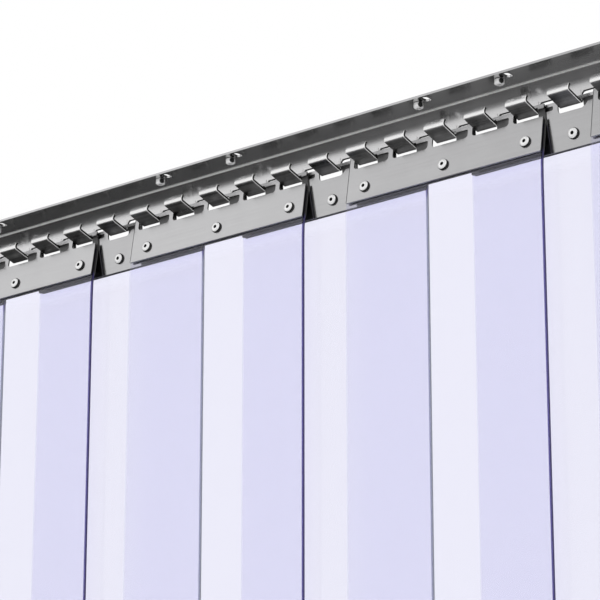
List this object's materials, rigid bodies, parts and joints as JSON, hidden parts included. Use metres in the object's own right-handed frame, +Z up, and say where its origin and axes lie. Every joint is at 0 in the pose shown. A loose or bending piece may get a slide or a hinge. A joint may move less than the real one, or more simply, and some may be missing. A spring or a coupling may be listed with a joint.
{
  "type": "strip curtain",
  "caption": "Clear PVC strip curtain: overlapping strips in riveted steel hook plates that hang and swing on a folded hook rail under a lintel.",
  "frame": {"origin": "middle of the rail's top mounting face", "axes": "+X along the rail, -Y towards the viewer's side with the front layer, +Z up to the lintel"},
  "size_m": [1.066, 0.0354, 2],
  "materials": {
    "rail_steel": "brushed stainless sheet",
    "plate_steel": "bright rolled stainless sheet",
    "rivet_steel": "bright stainless",
    "screw_zinc": "bright zinc",
    "clear_pvc": "clear with a faint violet-blue tint"
  },
  "bodies": {
    "rail": {"hook_rail": "rail_steel", "fixing_screw_1": "screw_zinc", "fixing_screw_2": "screw_zinc", "fixing_screw_3": "screw_zinc", "fixing_screw_4": "screw_zinc", "fixing_screw_5": "screw_zinc", "fixing_screw_6": "screw_zinc", "fixing_screw_7": "screw_zinc"},
    "unit_1": {"hook_plate_1": "plate_steel", "strip_1": "clear_pvc", "clamp_plate_1": "plate_steel", "rivet_1_left": "rivet_steel", "rivet_1_mid": "rivet_steel", "rivet_1_right": "rivet_steel"},
    "unit_2": {"hook_plate_2": "plate_steel", "strip_2": "clear_pvc", "clamp_plate_2": "plate_steel", "rivet_2_left": "rivet_steel", "rivet_2_mid": "rivet_steel", "rivet_2_right": "rivet_steel"},
    "unit_3": {"hook_plate_3": "plate_steel", "strip_3": "clear_pvc", "clamp_plate_3": "plate_steel", "rivet_3_left": "rivet_steel", "rivet_3_mid": "rivet_steel", "rivet_3_right": "rivet_steel"},
    "unit_4": {"hook_plate_4": "plate_steel", "strip_4": "clear_pvc", "clamp_plate_4": "plate_steel", "rivet_4_left": "rivet_steel", "rivet_4_mid": "rivet_steel", "rivet_4_right": "rivet_steel"},
    "unit_5": {"hook_plate_5": "plate_steel", "strip_5": "clear_pvc", "clamp_plate_5": "plate_steel", "rivet_5_left": "rivet_steel", "rivet_5_mid": "rivet_steel", "rivet_5_right": "rivet_steel"},
    "unit_6": {"hook_plate_6": "plate_steel", "strip_6": "clear_pvc", "clamp_plate_6": "plate_steel", "rivet_6_left": "rivet_steel", "rivet_6_mid": "rivet_steel", "rivet_6_right": "rivet_steel"},
    "unit_7": {"hook_plate_7": "plate_steel", "strip_7": "clear_pvc", "clamp_plate_7": "plate_steel", "rivet_7_left": "rivet_steel", "rivet_7_mid": "rivet_steel", "rivet_7_right": "rivet_steel"},
    "unit_8": {"hook_plate_8": "plate_steel", "strip_8": "clear_pvc", "clamp_plate_8": "plate_steel", "rivet_8_left": "rivet_steel", "rivet_8_mid": "rivet_steel", "rivet_8_right": "rivet_steel"}
  },
  "joints": [
    {"name": "swing_1", "type": "hinge", "parent": "rail", "child": "unit_1", "pos_m": [-0.4297, 0.01295, -0.02905], "axis": [1, 0, 0], "range_deg": [0, 60]},
    {"name": "swing_2", "type": "hinge", "parent": "rail", "child": "unit_2", "pos_m": [-0.3067, 0.01123, -0.02725], "axis": [-1, 0, 0], "range_deg": [0, 60]},
    {"name": "swing_3", "type": "hinge", "parent": "rail", "child": "unit_3", "pos_m": [-0.1837, 0.01295, -0.02905], "axis": [1, 0, 0], "range_deg": [0, 60]},
    {"name": "swing_4", "type": "hinge", "parent": "rail", "child": "unit_4", "pos_m": [-0.0607, 0.01123, -0.02725], "axis": [-1, 0, 0], "range_deg": [0, 60]},
    {"name": "swing_5", "type": "hinge", "parent": "rail", "child": "unit_5", "pos_m": [0.0623, 0.01295, -0.02905], "axis": [1, 0, 0], "range_deg": [0, 60]},
    {"name": "swing_6", "type": "hinge", "parent": "rail", "child": "unit_6", "pos_m": [0.1853, 0.01123, -0.02725], "axis": [-1, 0, 0], "range_deg": [0, 60]},
    {"name": "swing_7", "type": "hinge", "parent": "rail", "child": "unit_7", "pos_m": [0.3083, 0.01295, -0.02905], "axis": [1, 0, 0], "range_deg": [0, 60]},
    {"name": "swing_8", "type": "hinge", "parent": "rail", "child": "unit_8", "pos_m": [0.4313, 0.01123, -0.02725], "axis": [-1, 0, 0], "range_deg": [0, 60]}
  ]
}
